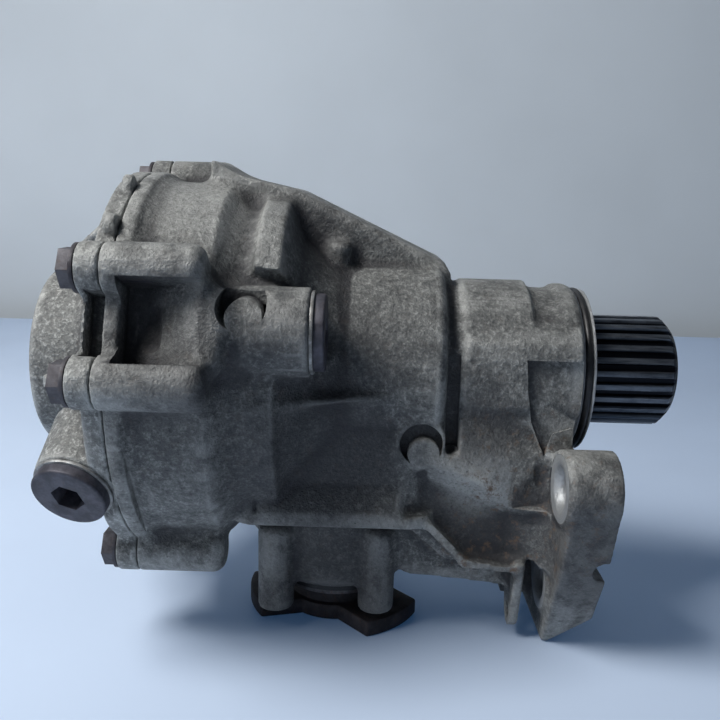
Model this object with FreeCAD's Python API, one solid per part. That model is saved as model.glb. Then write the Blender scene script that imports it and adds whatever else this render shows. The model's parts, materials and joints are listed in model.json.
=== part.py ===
import FreeCAD, Part
import math
import os

V = FreeCAD.Vector
os.makedirs("parts", exist_ok=True)

# Angle drive of a transverse four-wheel-drive car, in millimetres.
# X runs along the axle, towards the gearbox. Z is up and the pinion hangs along -Z.
# The origin is on the axle axis, at the shoulder of the spigot that enters the gearbox.

# Main stations along the axle
joint_x = -155.5
cover_flange_t = 7.6
housing_flange_t = 5.2
cover_depth = 37.9
cover_boss_r = 34.8
cover_end_x = joint_x - cover_depth
drum_end_x = -48.0
nose_step_x = -17.0
pinion_x = -85.5
floor_z = -98.5

# Main housing, wall radii
flange_r = 70.0
bell_r = 68.0
waist_r = 57.0
drum_r = 39.5
nose_r = 33.5
nose_tip_r = 31.0
wall = 5.0

# Joint bolts, M8, at angles from the top towards the viewer
bolt_circle_r = 72.0
bolt_lobe_r = 8.4
bolt_angles = [338.0, 56.5, 84.5, 152.5, 190.0, 228.0, 266.0, 302.0]
finger_lengths = [25.0, 31.0, 33.0, 31.0, 24.0, 24.0, 24.0, 24.0]
bolt_r = 4.0
bolt_len = 26.0
bolt_af = 12.0
bolt_head_t = 5.3
bolt_washer_r = 7.8
bolt_washer_t = 1.2
tap_clearance = 0.25
dowel_r = 6.0
dowel_bore_r = 4.4
dowel_len = 10.0
dowel_angles = [152.5, 302.0]

# Spigot towards the gearbox, with its ring seal
spigot_len = 5.4
spigot_r = 31.2
spigot_shoulder = 0.6
ring_groove_w = 3.0
ring_groove_r = 28.4
ring_groove_x = 1.2
ring_clearance = 0.15

# Hollow input shaft
shaft_r = 20.0
shaft_bore_r = 14.5
shaft_left_x = cover_end_x + 7.4
shaft_right_x = 38.5
spline_len = 31.5
spline_teeth = 26
spline_module = 1.5
spline_depth = 2.1
spline_chamfer = 3.2
hub_r = 30.0
carrier_r = 47.0
carrier_x = joint_x + 21.5
carrier_t = 6.0

# Bevel gears: cone distance and tooth form follow from these
ring_teeth = 41
pinion_teeth = 20
gear_module = 2.44
gear_face_w = 16.0
gear_addendum = 0.80
gear_dedendum = 1.12
gear_tooth_share = 0.44
gear_backing = 1.8
ring_bolt_count = 10
ring_bolt_circle_r = 40.0
ring_bolt_r = 4.0
ring_bolt_grip = 10.0
ring_bolt_af = 11.0
ring_bolt_head_t = 4.5

# Axle bearings, tapered rollers
axle_cup_r = 34.0
axle_bearing_w = 18.0
axle_rollers = 14
left_bearing_x = joint_x - 15.5
right_bearing_x = drum_end_x - 22.0
shim_t = 1.2

# Pinion bearings
pinion_shaft_r = 12.5
head_cup_r = 26.0
tail_cup_r = 24.0
head_bearing_w = 11.0
tail_bearing_w = 10.0
pinion_rollers = 12
head_top_z = -52.6
tail_top_z = -68.0

# Pinion snout and its cast columns
snout_r = 29.5
snout_end_z = -81.0
column_r = 6.8
column_x = 18.9
column_shift = -3.0
column_y = 25.0
column_end_z = -90.0
column_top_z = -56.0

# Form between the drum and the foot: a rounded crest, a pocket under it, and the rim of the mould
side_y = -32.3
crest_y = -38.4
crest_drop = 20.0
rim_y = -38.0
rim_t = 2.6
mould_groove_w = 4.7
mould_groove_y = -30.3
pad_y = -33.0
crescent_r = 7.5
crescent_depth = 3.8
rim_pocket_angle = 70.0
rim_pocket_r = 61.5

# Output flange with three arms
arm_r = 35.0
arm_w = 26.5
arm_angles = [-46.0, 194.0, 74.0]
flange_plate_t = 6.2
flange_hub_r = 15.0
flange_bolt_r = 4.2
flange_bolt_circle_r = 27.0
flange_recess_r = 15.2
flange_recess_h = 9.6
flange_boss_r = 19.0
nut_af = 24.0
nut_t = 7.0
nut_washer_t = 1.6
thread_r = 8.0

# Oil plugs, hexagon socket
plug_thread_r = 10.0
plug_thread_len = 9.5
plug_head_r = 12.6
plug_room = 1.6
plug_head_t = 3.6
plug_socket_af = 10.0
plug_socket_depth = 8.0
plug_washer_t = 1.2
plug_boss_r = 14.5
cover_rib_t = 4.0
rim_bump_r = 4.0
rim_bump_t = 3.6
rim_bump_angles = [23.0, 42.0, 118.0]
level_plug_x = pinion_x - 6.7
level_plug_y = -50.0
level_plug_z = 20.0
fill_plug_x = joint_x - 14.1
fill_plug_angle = 119.0
fill_plug_tilt = 9.0
fill_plug_radius = 66.0

# Mounting foot, a plate across the axle with two bolt holes
foot_x0 = -7.5
foot_t = 16.8
foot_bolt_r = 6.0
foot_lead_r = 8.6
foot_seat_r = 11.8
foot_seat_h = 1.6
foot_upper_y = -46.5
foot_upper_z = -32.0
foot_lower_y = -26.5
foot_lower_z = -74.5
foot_ear_r = 13.4
foot_back_y = 14.0
foot_notch_r = 4.0
foot_notch_z = -60.5
foot_corner = 15.0
apron_r = 14.0
ear_x = -20.0
ear_t = 3.6
ear_y = -27.0
ear_z = -87.5
ear_r = 6.2
ear_hole_r = 3.0

# Breather at the back
vent_x = joint_x + 22
vent_y = 69.0
vent_z = 22.0
vent_r = 4.0
vent_len = 9.0

# Seals
seal_w = 8.0
seal_r = 26.0
pinion_seal_w = 6.5
shield_r = 22.4
running = 0.06
roller_gap = 0.12


def at_angle(radius, degrees, x=0.0):
    """A point round the axle, with the angle from the top towards the viewer."""
    a = math.radians(degrees)
    return V(x, -radius * math.sin(a), radius * math.cos(a))


def cyl_x(radius, x0, x1, y=0.0, z=0.0):
    return Part.makeCylinder(radius, x1 - x0, V(x0, y, z), V(1, 0, 0))


def cyl_z(radius, z0, z1, x=pinion_x, y=0.0):
    return Part.makeCylinder(radius, z1 - z0, V(x, y, z0), V(0, 0, 1))


def block(x0, x1, y0, y1, z0, z1):
    return Part.makeBox(x1 - x0, y1 - y0, z1 - z0, V(x0, y0, z0))


def turn_x(points):
    """A solid turned about the axle from (x, radius) pairs."""
    wire = Part.makePolygon([V(x, 0, r) for x, r in points + points[:1]])
    return Part.Face(wire).revolve(V(0, 0, 0), V(1, 0, 0), 360)


def turn_z(points):
    """A solid turned about the pinion's axis from (radius, z) pairs."""
    wire = Part.makePolygon([V(pinion_x + r, 0, z) for r, z in points + points[:1]])
    return Part.Face(wire).revolve(V(pinion_x, 0, 0), V(0, 0, 1), 360)


def tube_x(r_in, r_out, x0, x1):
    return turn_x([(x0, r_in), (x0, r_out), (x1, r_out), (x1, r_in)])


def tube_z(r_in, r_out, z0, z1):
    return turn_z([(r_in, z0), (r_out, z0), (r_out, z1), (r_in, z1)])


def slab_y(points, y0, y1):
    """An outline of (x, z) points, drawn out along Y."""
    wire = Part.makePolygon([V(x, y0, z) for x, z in points + points[:1]])
    return Part.Face(wire).extrude(V(0, y1 - y0, 0))


def slab_x(points, x0, x1):
    """An outline of (y, z) points, drawn out along X."""
    wire = Part.makePolygon([V(x0, y, z) for y, z in points + points[:1]])
    return Part.Face(wire).extrude(V(x1 - x0, 0, 0))


def carried_x(points, x0, run):
    """An outline of (y, z) points at x0, carried along a slanting run."""
    wire = Part.makePolygon([V(x0, y, z) for y, z in points + points[:1]])
    return Part.Face(wire).extrude(run)


def sector(angle, half_width, x0, x1, r0, r1):
    """A block round the axle, its middle at an angle from the top towards the viewer."""
    piece = block(x0, x1, -half_width, half_width, r0, r1)
    piece.rotate(V(0, 0, 0), V(1, 0, 0), angle)
    return piece


def hexagon(across_flats, height, base, direction):
    """A hexagonal prism standing on base."""
    corner = across_flats / math.sqrt(3)
    points = []
    for i in range(7):
        a = math.radians(60 * i + 90)
        points.append(V(corner * math.cos(a), corner * math.sin(a), 0))
    prism = Part.Face(Part.makePolygon(points)).extrude(V(0, 0, height))
    prism.Placement = FreeCAD.Placement(base, FreeCAD.Rotation(V(0, 0, 1), direction))
    return prism


def rounded(shape, radius, pick):
    """Fillets the edges for which pick(edge) is true."""
    edges = [e for e in shape.Edges if pick(e)]
    return shape.makeFillet(radius, edges)


def along(edge, axis):
    """Whether a straight edge runs along an axis."""
    if not isinstance(edge.Curve, Part.Line):
        return False
    return abs(abs(edge.Curve.Direction.dot(axis)) - 1) < 1e-6


def fuse_all(first, rest):
    return first.multiFuse(rest).removeSplitter()


def round_end_cyl_x(radius, x0, x1, y, z):
    """A boss along the axle whose far end is rounded over."""
    end = rounded(cyl_x(radius, x0, x1, y, z), radius * 0.55, lambda e: e.CenterOfMass.x > x1 - 0.01)
    return end


def export(name, shape):
    solids = shape.Solids
    whole = solids[0] if len(solids) == 1 else Part.makeCompound(solids)
    whole.exportStep("parts/%s.step" % name)
    valid = "" if shape.isValid() else " NOT VALID"
    print("%-24s %2d solid(s) %8.0f mm3%s" % (name, len(solids), shape.Volume, valid))


def fill_axis():
    """Base point and outward direction of the fill plug."""
    tilt = math.radians(fill_plug_tilt)
    radial = at_angle(1, fill_plug_angle)
    direction = V(-math.sin(tilt), radial.y * math.cos(tilt), radial.z * math.cos(tilt))
    base = at_angle(fill_plug_radius, fill_plug_angle, fill_plug_x)
    return base, direction


# Main housing, outside

def housing_body():
    """The turned forms round the axle: bell, waist, drum and nose."""
    flange_back = joint_x + housing_flange_t
    body = turn_x([
        (joint_x, 0), (joint_x, flange_r), (flange_back, flange_r), (flange_back + 0.5, bell_r - 1),
        (joint_x + 30, bell_r - 2), (joint_x + 37, waist_r + 2), (joint_x + 50, waist_r),
        (pinion_x - 18, waist_r - 4), (pinion_x - 6, drum_r + 4), (pinion_x + 2, drum_r),
        (drum_end_x - 2, drum_r), (drum_end_x, drum_r - 2), (drum_end_x + 1, nose_r - 1.5),
        (drum_end_x + 5, nose_r - 1.5), (drum_end_x + 7, nose_r), (nose_step_x, nose_r),
        (nose_step_x, nose_tip_r), (0, nose_tip_r - 0.5), (0, 0)])
    rib = turn_x([(-7, 20), (-7, nose_tip_r), (-5.5, nose_tip_r + 1.6), (-2, nose_tip_r + 1.6),
                  (0, spigot_r + spigot_shoulder), (0, 20)])
    hip = carried_x([(-20, 22), (-27, 19.5), (-31, 14.5), (-32.4, 9.5), (-32.9, 3), (-33.2, -8), (-20, -20)],
                    drum_end_x + 8, V(-drum_end_x - 8.3, -1.6, 0))
    return [body, rib, hip]


def finger_bosses():
    """Tapped bosses behind the joint, one for each cover bolt."""
    bosses = []
    for angle, length in zip(bolt_angles, finger_lengths):
        p = at_angle(bolt_circle_r, angle)
        bosses.append(round_end_cyl_x(bolt_lobe_r, joint_x, joint_x + length, p.y, p.z))
        bosses.append(sector(angle, bolt_lobe_r * 0.8, joint_x, joint_x + length * 0.8, bell_r - 12,
                             bolt_circle_r))
    return bosses


def top_ridge():
    """The sloping web from the top of the bell to the end of the drum, with its folds."""
    start = joint_x + 22
    outline = [(start, 20), (start, 75), (joint_x + 23, 74.5), (joint_x + 30, 70.5), (joint_x + 35, 68.7),
               (joint_x + 54, 64.8), (drum_end_x + 0.5, 40), (drum_end_x + 3, 35.5), (drum_end_x + 3, 20)]
    ridge = slab_y(outline, -9, 30)
    ridge = rounded(ridge, 4, lambda e: e.CenterOfMass.z > 40 and abs(e.CenterOfMass.y - 10.5) > 15
                    and e.Length > 56)
    fold_x = joint_x + 47.5
    outline = [(fold_x - 9, waist_r - 5), (fold_x - 4, waist_r + 6), (fold_x + 4, waist_r + 5),
               (fold_x + 9, waist_r - 7)]
    fold = Part.Face(Part.makePolygon([V(x, 0, r) for x, r in outline + outline[:1]]))
    fold = fold.revolve(V(0, 0, 0), V(1, 0, 0), 50)
    bump = rounded(cyl_z(4.5, 15, 47, pinion_x - 1, -11), 3, lambda e: e.CenterOfMass.z > 40)
    return [ridge, fold, bump]


def lower_body():
    """The pinion chamber under the axle, with the cast ledge round its foot."""
    chamber = block(joint_x + 33, drum_end_x - 1, -36, 37, -50, 4)
    chamber = rounded(chamber, 13, lambda e: along(e, V(0, 0, 1)))
    ledge = block(joint_x + 31, drum_end_x - 1, -40.5, 39, -51.5, -47)
    ledge = rounded(ledge, 12, lambda e: along(e, V(0, 0, 1)))
    ramp = slab_x([(-36.5, -38), (-40.5, -46.5), (-40.5, -49), (-30, -49), (-30, -38)],
                  joint_x + 44, drum_end_x - 14)
    vent_boss = Part.makeCylinder(7.5, 14, V(vent_x, vent_y - 14, vent_z), V(0, 1, 0))
    return [chamber, ledge, ramp, vent_boss]


def side_form():
    """The wall from the drum to the foot: crest, pocket and the rim where the mould parts."""
    left = drum_end_x - 14
    right = foot_x0 + 6
    wall_up = slab_y([(left, 2), (nose_step_x + 3, -4), (right, -7), (right, -60), (ear_x, -60),
                      (ear_x, -68), (drum_end_x + 3, -66), (drum_end_x - 4, -60), (left, -51)], side_y, 22)
    wall_low = slab_y([(left, -51), (right, -60), (ear_x + ear_t, -60), (ear_x + ear_t, -79),
                       (drum_end_x + 9, -76.5), (drum_end_x - 10, -75), (left - 4, -71)], side_y + 5, 20)
    crest = carried_x([(-20, -2), (-32.4, -6), (-34.8, -12), (crest_y + 0.6, -23), (crest_y, -27),
                       (crest_y + 1.2, -30), (side_y, -37), (-20, -40)], drum_end_x - 4,
                      V(right - drum_end_x + 4, 0, -crest_drop))
    rim = slab_y([(left - 4, -48), (drum_end_x - 3, -49.5), (drum_end_x + 3.5, -56),
                  (drum_end_x + 10.5, -63.4), (ear_x - 4, -65.4), (ear_x + 2, -65.6),
                  (ear_x + 2, -65.6 - rim_t), (ear_x - 4, -65.2 - rim_t), (drum_end_x + 9, -64 - rim_t),
                  (drum_end_x + 1.5, -58.6), (drum_end_x - 4.5, -52.4), (left - 4, -51)], rim_y, -20)
    return [wall_up, wall_low, crest, rim]


def snout():
    """The pinion carrier with four cast columns."""
    body = turn_z([(0, -45), (snout_r + 1.5, -45), (snout_r, snout_end_z + 2),
                   (snout_r - 2, snout_end_z), (0, snout_end_z)])
    parts = [body]
    for sx in (-1, 1):
        for sy in (-1, 1):
            at_x = pinion_x + column_shift + sx * column_x
            column = cyl_z(column_r, column_end_z, column_top_z, at_x, sy * column_y)
            column = rounded(column, column_r * 0.6, lambda e: e.CenterOfMass.z > column_top_z - 0.01)
            column = rounded(column, 1.2, lambda e: e.CenterOfMass.z < column_end_z + 0.01)
            parts.append(column)
            web = block(at_x - column_r * 0.9, at_x + column_r * 0.9, min(0, sy * column_y),
                        max(0, sy * column_y), snout_end_z + 3, column_top_z + 6)
            parts.append(web)
    gusset = slab_y([(joint_x + 30, -48), (pinion_x - 12, -48), (pinion_x - 24, -78),
                     (joint_x + 33, -62)], -6, 6)
    parts.append(gusset)
    return parts


def foot_outline():
    """The foot's plate in (y, z) with its two round ears."""
    return [(foot_upper_y - foot_ear_r, foot_upper_z), (foot_upper_y - 6, foot_upper_z + foot_ear_r - 1.4),
            (-20, -26), (foot_back_y, -30), (foot_back_y, floor_z + 10), (foot_back_y - 8, floor_z),
            (foot_lower_y - 5, floor_z), (foot_lower_y - foot_ear_r - 2, foot_lower_z - 4),
            (foot_upper_y - 4.5, foot_lower_z + foot_ear_r)]


def foot():
    """The mounting plate across the axle, with its notch and cut corner."""
    x1 = foot_x0 + foot_t
    front_y = foot_upper_y - foot_ear_r
    seats_at = ((foot_upper_y, foot_upper_z), (foot_lower_y, foot_lower_z))
    ears = [cyl_x(foot_ear_r, foot_x0, x1, y, z) for y, z in seats_at]
    solid = fuse_all(slab_x(foot_outline(), foot_x0, x1), ears)
    cuts = [block(3, x1 + 1, -14, 20, -60, -10)]
    notch_at = V(x1 - 1.5, front_y - 1, foot_notch_z)
    cuts.append(Part.makeCylinder(foot_notch_r, foot_back_y - front_y, notch_at, V(0, 1, 0)))
    corner = [(x1 - foot_corner, floor_z - 1), (x1 + 1, floor_z - 1), (x1 + 1, floor_z + foot_corner)]
    cuts.append(slab_y(corner, front_y - 1, foot_back_y + 1))
    cuts.append(cyl_x(spigot_r + 6, 0, x1 + 1))
    solid = solid.cut(cuts)
    seats = [cyl_x(foot_seat_r, foot_x0 - foot_seat_h, foot_x0 + 1, y, z) for y, z in seats_at]
    ear = cyl_x(ear_r, ear_x, ear_x + ear_t, ear_y, ear_z)
    stem = slab_x([(ear_y - 12, -64), (ear_y - ear_r, ear_z), (ear_y + ear_r, ear_z), (ear_y + 14, -64)],
                  ear_x, ear_x + ear_t)
    back_web = block(ear_x + 1, foot_x0 + 1, -8, 4, ear_z - 4, -66)
    bridge = block(foot_x0 - 19, foot_x0 + 4, -16, 15, -74, -58)
    return [solid, foot_apron(), ear, stem, back_web, bridge] + seats


def foot_apron():
    """The hollow sweep from the side form out to the foot's face, within the foot's outline."""
    centre = V(foot_x0 - apron_r + 0.15, side_y - 1 - apron_r, 0)
    start = centre + V(0, apron_r, 0)
    end = centre + V(apron_r, 0, 0)
    middle = centre + V(apron_r, apron_r, 0) * math.sqrt(0.5)
    edge = [Part.Arc(start, middle, end).toShape(), Part.makeLine(end, V(foot_x0 + 1, end.y, 0)),
            Part.makeLine(V(foot_x0 + 1, end.y, 0), V(foot_x0 + 1, -20, 0)),
            Part.makeLine(V(foot_x0 + 1, -20, 0), V(start.x, -20, 0)),
            Part.makeLine(V(start.x, -20, 0), start)]
    sweep = Part.Face(Part.Wire(edge)).extrude(V(0, 0, -50))
    sweep.translate(V(0, 0, -16))
    around = slab_x(foot_outline(), start.x - 1, foot_x0 + 2)
    return sweep.common(around.fuse(cyl_x(foot_ear_r, start.x - 1, foot_x0 + 2, foot_upper_y, foot_upper_z)))


def level_boss():
    """The cylinder along the axle that carries the level plug."""
    boss = cyl_x(plug_boss_r, joint_x + 20, level_plug_x - plug_washer_t, level_plug_y, level_plug_z)
    web = block(joint_x + 20, level_plug_x - 6, level_plug_y + 4, -20, level_plug_z - 9, level_plug_z + 9)
    return [boss, web]


def cast_ribs():
    """The thin fin under the level plug, following the waist to the drum."""
    fin = [(joint_x + 34, -59), (joint_x + 46, -58.5), (pinion_x - 10, -49), (pinion_x + 4, -42.5),
           (drum_end_x - 12, -38.5), (drum_end_x - 12, -30), (joint_x + 34, -40)]
    wire = Part.makePolygon([V(x, y, -5.2) for x, y in fin + fin[:1]])
    return [Part.Face(wire).extrude(V(0, 0, 2.2))]


# Main housing, inside

def housing_hollow():
    """The room for the gears, shafts and bearings."""
    bell_in = bell_r - wall
    room = turn_x([
        (joint_x - 1, 0), (joint_x - 1, bell_in), (joint_x + 28, bell_in - 1.5),
        (joint_x + 34, waist_r - wall + 1), (pinion_x - 19, waist_r - wall),
        (pinion_x - 8, drum_r - wall), (right_bearing_x - 1, drum_r - wall - 2),
        (right_bearing_x - 1, 30), (right_bearing_x, 30), (right_bearing_x, 0)])
    room = room.cut(sector(rim_pocket_angle, 18, joint_x + 4, joint_x + 22, rim_pocket_r - wall, flange_r))
    cup_seat = cyl_x(axle_cup_r, right_bearing_x - 2, right_bearing_x + axle_bearing_w + shim_t)
    throat = cyl_x(axle_cup_r - 5, right_bearing_x, drum_end_x + 2)
    bore = cyl_x(shaft_r + 3, drum_end_x, 1)
    seal_seat = cyl_x(seal_r, -seal_w, 30)
    lead = cyl_x(shaft_r + 4, -1, spigot_len + 1)
    pinion_room = cyl_z(head_cup_r + 2, head_top_z, 0)
    head_seat = cyl_z(head_cup_r, head_top_z - head_bearing_w - shim_t, -44)
    tail_seat = cyl_z(tail_cup_r, column_end_z - 1, tail_top_z)
    shoulder = cyl_z(head_cup_r - 5, tail_top_z - 1, head_top_z)
    return [room, cup_seat, throat, bore, seal_seat, lead, pinion_room, head_seat, tail_seat, shoulder]


def crescent(x, y, z):
    """The half-moon dent that an ejector leaves in the casting, cut back to y."""
    disc = Part.makeCylinder(crescent_r, 20, V(x, y - 20, z), V(0, 1, 0))
    inner = Part.makeCylinder(crescent_r * 0.74, 20, V(x + 0.8, y - 20, z - crescent_r * 0.42), V(0, 1, 0))
    return disc.cut(inner)


def outside_cuts():
    """Pockets behind the joint's rim, the mould's groove, the milled pad and the half-moons."""
    flange_back = joint_x + housing_flange_t
    cuts = [sector(rim_pocket_angle, 13, flange_back, flange_back + 12, rim_pocket_r, 90)]
    cuts.append(sector(118, 16, flange_back, flange_back + 3.5, bell_r - 4, 90))
    groove = block(drum_end_x + 0.8, drum_end_x + 0.8 + mould_groove_w, -60, mould_groove_y, -22.5, 10)
    cuts.append(groove)
    cuts.append(Part.makeCylinder(mould_groove_w / 2, 60 + mould_groove_y,
                                  V(drum_end_x + 0.8 + mould_groove_w / 2, -60, -22.5), V(0, 1, 0)))
    cuts.append(slab_y([(nose_step_x - 3, 9.3), (0, 9.3), (0, -14), (foot_x0 - foot_seat_h, -17),
                        (nose_step_x + 5, -25), (nose_step_x, -13), (nose_step_x - 2, -2.5)], -60, pad_y))
    cuts.append(crescent(drum_end_x - 7.5, crest_y + 0.8 + crescent_depth, -21))
    return cuts


def build_housing():
    pad_at = V(drum_end_x - 7.5, crest_y + 0.8, -21)
    crescent_pad = Part.makeCylinder(crescent_r + 1.8, 12, pad_at, V(0, 1, 0))
    forms = housing_body() + top_ridge() + lower_body() + side_form() + foot() + cast_ribs()
    skin = fuse_all(forms[0], forms[1:] + [crescent_pad]).cut(Part.makeCompound(outside_cuts()).Solids)
    spigot = cyl_x(spigot_r, -2, spigot_len)
    solid = fuse_all(skin, finger_bosses() + snout() + level_boss() + [spigot])
    solid = solid.cut(crescent(joint_x + 41.5, level_plug_y - 4, 29.5))
    cuts = housing_hollow()
    groove = tube_x(ring_groove_r, spigot_r + 2, ring_groove_x, ring_groove_x + ring_groove_w)
    cuts.append(groove)
    for angle, length in zip(bolt_angles, finger_lengths):
        p = at_angle(bolt_circle_r, angle)
        depth = min(length - 3, bolt_len - cover_flange_t + 3)
        cuts.append(cyl_x(bolt_r + tap_clearance, joint_x - 1, joint_x + depth, p.y, p.z))
    for angle in dowel_angles:
        p = at_angle(bolt_circle_r, angle)
        cuts.append(cyl_x(dowel_r, joint_x - 1, joint_x + dowel_len / 2, p.y, p.z))
    seat_x = foot_x0 - foot_seat_h
    for y, z in ((foot_upper_y, foot_upper_z), (foot_lower_y, foot_lower_z)):
        cuts.append(cyl_x(foot_bolt_r, foot_x0 - 12, foot_x0 + foot_t + 1, y, z))
        cuts.append(Part.makeCone(foot_lead_r + 0.3, foot_bolt_r, foot_lead_r - foot_bolt_r + 0.3,
                                  V(seat_x - 0.3, y, z), V(1, 0, 0)))
        cuts.append(cyl_x(foot_seat_r + 1.5, seat_x - 7, seat_x, y, z))
    cuts.append(cyl_x(plug_thread_r + tap_clearance, level_plug_x - plug_thread_len - 12, level_plug_x + 1,
                      level_plug_y, level_plug_z))
    cuts.append(cyl_x(plug_head_r + plug_room, level_plug_x - plug_washer_t, level_plug_x + 12,
                      level_plug_y, level_plug_z))
    fill_base, fill_direction = fill_axis()
    plug_start = fill_base - fill_direction * 2
    cuts.append(Part.makeCylinder(plug_head_r + plug_room, 30, plug_start, fill_direction))
    cuts.append(Part.makeCylinder(vent_r, 20, V(vent_x, vent_y - 16, vent_z), V(0, 1, 0)))
    cuts.append(cyl_x(ear_hole_r, ear_x - 1, ear_x + ear_t + 1, ear_y, ear_z))
    solid = solid.cut(Part.makeCompound(cuts).Solids)
    return max(solid.Solids, key=lambda s: s.Volume)


# Side cover

def cover_outside():
    face_x = joint_x - cover_flange_t
    body = turn_x([
        (cover_end_x, 0), (cover_end_x, cover_boss_r - 1.8), (cover_end_x + 1.5, cover_boss_r - 0.6),
        (cover_end_x + 19, cover_boss_r), (cover_end_x + 22, cover_boss_r + 7.2),
        (face_x - 1.5, flange_r - 18), (face_x + 1, flange_r - 6), (face_x + 1, flange_r),
        (joint_x, flange_r), (joint_x, 0)])
    forms = [body]
    for angle in bolt_angles:
        p = at_angle(bolt_circle_r, angle)
        forms.append(cyl_x(bolt_lobe_r, face_x, joint_x, p.y, p.z))
    for angle in rim_bump_angles:
        p = at_angle(flange_r, angle)
        forms.append(cyl_x(rim_bump_r, joint_x - rim_bump_t, joint_x, p.y, p.z))
    base, direction = fill_axis()
    start = base - direction * 22
    cone = Part.makeCone(plug_boss_r + 3, plug_boss_r - 0.6, 22, start, direction)
    forms.append(cone.cut(block(joint_x, joint_x + 40, -120, 120, -120, 120)))
    for i in range(6):
        rib = block(cover_end_x + 10, face_x + 2, -cover_rib_t / 2, cover_rib_t / 2, cover_boss_r - 2,
                    flange_r - 8)
        rib = rib.cut(slab_y([(cover_end_x, cover_boss_r + 1), (cover_end_x, flange_r + 10),
                              (face_x + 3, flange_r + 10), (face_x - 1, flange_r - 8)], -10, 10))
        rib.rotate(V(0, 0, 0), V(1, 0, 0), 30 + 60 * i)
        forms.append(rib)
    return forms


def build_cover():
    forms = cover_outside()
    collar = cyl_x(axle_cup_r + 4, joint_x - 1, left_bearing_x + axle_bearing_w - 2)
    solid = fuse_all(forms[0], forms[1:] + [collar])
    face_x = joint_x - cover_flange_t
    room = turn_x([(face_x + 2, axle_cup_r + 4), (joint_x - 4, bell_r - wall - 4),
                   (joint_x + 5, bell_r - wall - 2), (joint_x + 5, axle_cup_r + 4)])
    cuts = [room]
    cuts.append(cyl_x(axle_cup_r, left_bearing_x - shim_t, joint_x + 20))
    cuts.append(cyl_x(shaft_r + 4, cover_end_x - 1, joint_x))
    cuts.append(cyl_x(seal_r, cover_end_x - 1, cover_end_x + seal_w))
    for angle in bolt_angles:
        p = at_angle(bolt_circle_r, angle)
        cuts.append(cyl_x(bolt_r + 0.5, face_x - 1, joint_x + 1, p.y, p.z))
    for angle in dowel_angles:
        p = at_angle(bolt_circle_r, angle)
        cuts.append(cyl_x(dowel_r, joint_x - dowel_len / 2, joint_x + 1, p.y, p.z))
    window = block(face_x + 2.5, joint_x + 1, -10, 10, flange_r - 7, flange_r + 12)
    window.rotate(V(0, 0, 0), V(1, 0, 0), (bolt_angles[1] + bolt_angles[2]) / 2)
    cuts.append(window)
    base, direction = fill_axis()
    cuts.append(Part.makeCylinder(plug_thread_r + tap_clearance, 30, base - direction * 30, direction))
    cuts.append(Part.makeCylinder(plug_head_r + 3, 20, base, direction))
    solid = solid.cut(Part.makeCompound(cuts).Solids)
    return max(solid.Solids, key=lambda s: s.Volume)


# Fasteners, plugs and seals

def hex_bolt(point, direction, length, shank_r, across_flats, head_t):
    """A bolt whose head's seat is at point, with its shank along -direction."""
    shank = Part.makeCylinder(shank_r, length, point - direction * length, direction)
    collar = Part.makeCylinder(bolt_washer_r, bolt_washer_t, point, direction)
    head = hexagon(across_flats, head_t, point, direction)
    return shank.multiFuse([collar, head]).removeSplitter()


def cover_bolts():
    face_x = joint_x - cover_flange_t
    bolts = []
    for angle in bolt_angles:
        p = at_angle(bolt_circle_r, angle, face_x)
        bolts.append(hex_bolt(p, V(-1, 0, 0), bolt_len - 4, bolt_r, bolt_af, bolt_head_t))
    return Part.makeCompound(bolts)


def oil_plug(base, direction):
    """A plug with a round head and a hexagon socket, its washer under the head."""
    head_base = base + direction * plug_washer_t
    head = Part.makeCylinder(plug_head_r, plug_head_t, head_base, direction)
    head = rounded(head, 0.8, lambda e: (e.CenterOfMass - head_base).dot(direction) > plug_head_t - 0.01)
    thread = Part.makeCylinder(plug_thread_r, plug_thread_len, head_base - direction * plug_thread_len,
                               direction)
    top = head_base + direction * (plug_head_t + 1)
    socket = hexagon(plug_socket_af, plug_socket_depth + 1, top - direction * (plug_socket_depth + 1),
                     direction)
    plug = head.fuse(thread).removeSplitter().cut(socket)
    washer = Part.makeCylinder(plug_head_r + 0.9, plug_washer_t, base, direction)
    washer = washer.cut(Part.makeCylinder(plug_thread_r + 0.1, plug_washer_t, base, direction))
    return plug, washer


def lip_seal(x0, x1, r_out, r_in):
    """A shaft seal's section: metal case, web and lip."""
    mid = (x0 + x1) / 2
    return turn_x([(x0, r_in + 1.4), (x0, r_out), (x1, r_out), (x1, r_out - 1.2), (mid, r_out - 1.2),
                   (mid, r_in + 2.2), (x1 - 0.5, r_in + 1.6), (x1 - 0.5, r_in), (mid, r_in)])


# Bearings

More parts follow.
